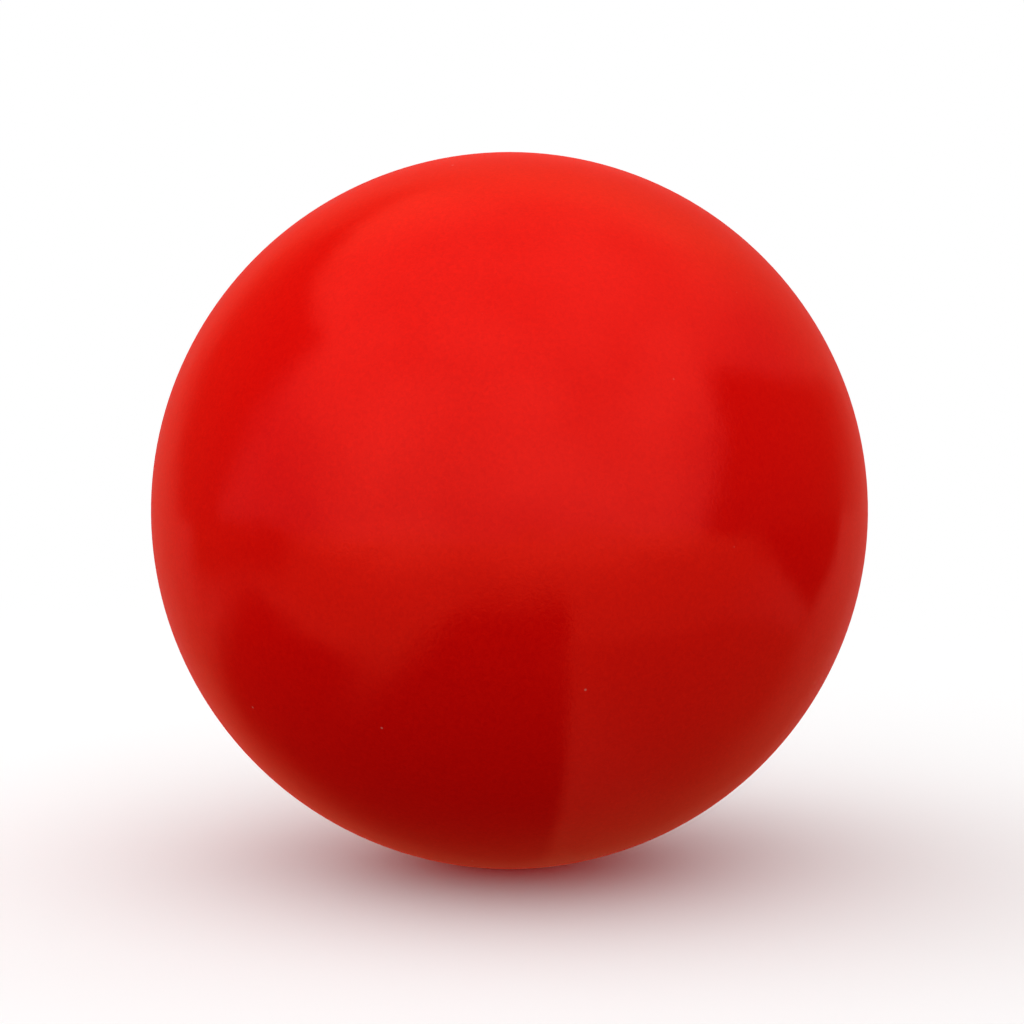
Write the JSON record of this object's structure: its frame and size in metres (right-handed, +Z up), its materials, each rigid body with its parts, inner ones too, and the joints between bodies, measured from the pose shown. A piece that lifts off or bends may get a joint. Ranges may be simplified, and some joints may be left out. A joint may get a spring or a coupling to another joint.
{
  "type": "rhythmic gymnastics ball",
  "caption": "Smooth hollow moulded ball, rolled, bounced and caught in rhythmic gymnastics, with a flush valve bush bonded behind its hole and a tapered push-in plug that pulls straight out.",
  "frame": {"origin": "centre of the ball", "axes": "+Z up, with the flat that the ball rests on at -Z; +Y out along the valve's axis, which the plug slides on"},
  "size_m": [0.185, 0.185, 0.1845],
  "materials": {
    "ball_skin": "gloss",
    "valve_seat": "satin",
    "valve_plug": "satin"
  },
  "bodies": {
    "ball": {"shell": "ball_skin", "valve_seat": "valve_seat"},
    "plug": {"valve_plug": "valve_plug"}
  },
  "joints": [
    {"name": "plug_pull", "type": "slide", "parent": "ball", "child": "plug", "axis": [0, 1, 0], "range_m": [0, 0.02]}
  ]
}
